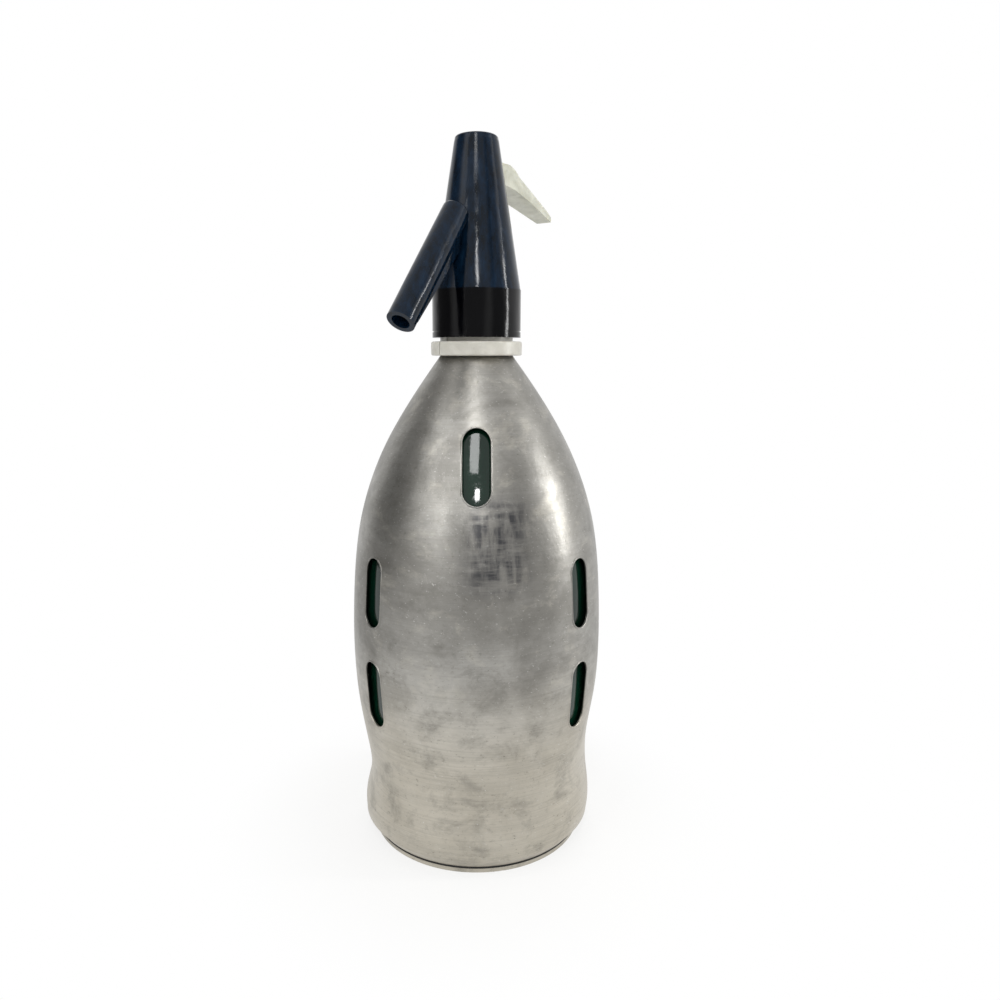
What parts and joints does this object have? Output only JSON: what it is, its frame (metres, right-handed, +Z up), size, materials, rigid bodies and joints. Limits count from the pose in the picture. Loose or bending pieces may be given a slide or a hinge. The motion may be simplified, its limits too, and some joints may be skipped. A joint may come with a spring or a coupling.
{
  "type": "soda siphon",
  "caption": "Bar siphon for carbonated water: glass bottle in a spun aluminium jacket with slot windows, under a tapered moulded head with a sloping spout and a press lever.",
  "frame": {"origin": "middle of the flat base, on the surface the siphon stands on", "axes": "+Z up along the bottle, spout towards -X, lever towards +X, lever pin along Y"},
  "size_m": [0.1135, 0.1088, 0.297],
  "materials": {
    "aluminium": "worn satin, spun",
    "green_glass": "clear dark green",
    "black_rubber": "matte",
    "ivory_collar": "satin moulded",
    "clear_tube": "translucent",
    "white_plastic": "moulded",
    "navy_plastic": "glossy moulded",
    "ivory_lever": "translucent moulded",
    "steel": "drawn wire and turned rod"
  },
  "bodies": {
    "root": {"jacket_shell": "aluminium", "jacket_base_cap": "aluminium", "glass_bottle": "green_glass", "base_sealing_ring": "black_rubber", "base_cushion": "black_rubber", "neck_cushion": "black_rubber", "collar_half_a": "ivory_collar", "collar_half_b": "ivory_collar", "dip_tube": "clear_tube", "head_gasket": "black_rubber", "valve_seat": "white_plastic", "head_body": "navy_plastic", "gland_seal": "black_rubber", "gland_nut": "white_plastic", "top_cap": "navy_plastic", "lever_pin": "steel", "valve_spring": "steel"},
    "lever": {"lever": "ivory_lever"},
    "valve": {"valve_stem": "steel", "valve_rubber": "black_rubber", "rubber_screw": "steel", "lift_nut": "steel", "spring_washer": "steel"}
  },
  "joints": [
    {"name": "lever_press", "type": "hinge", "parent": "root", "child": "lever", "pos_m": [0.0075, 0, 0.281], "axis": [0, 1, 0], "range_deg": [0, 13]},
    {"name": "valve_lift", "type": "slide", "parent": "root", "child": "valve", "axis": [0, 0, 1], "range_m": [0, 0.0017], "stiffness_N_per_m": 50, "springref_m": -0.003, "deforming": ["valve_spring"]}
  ],
  "couplings": [
    {"joint": "lever_press", "follows": "valve_lift", "rad_per_m": 133.33}
  ]
}
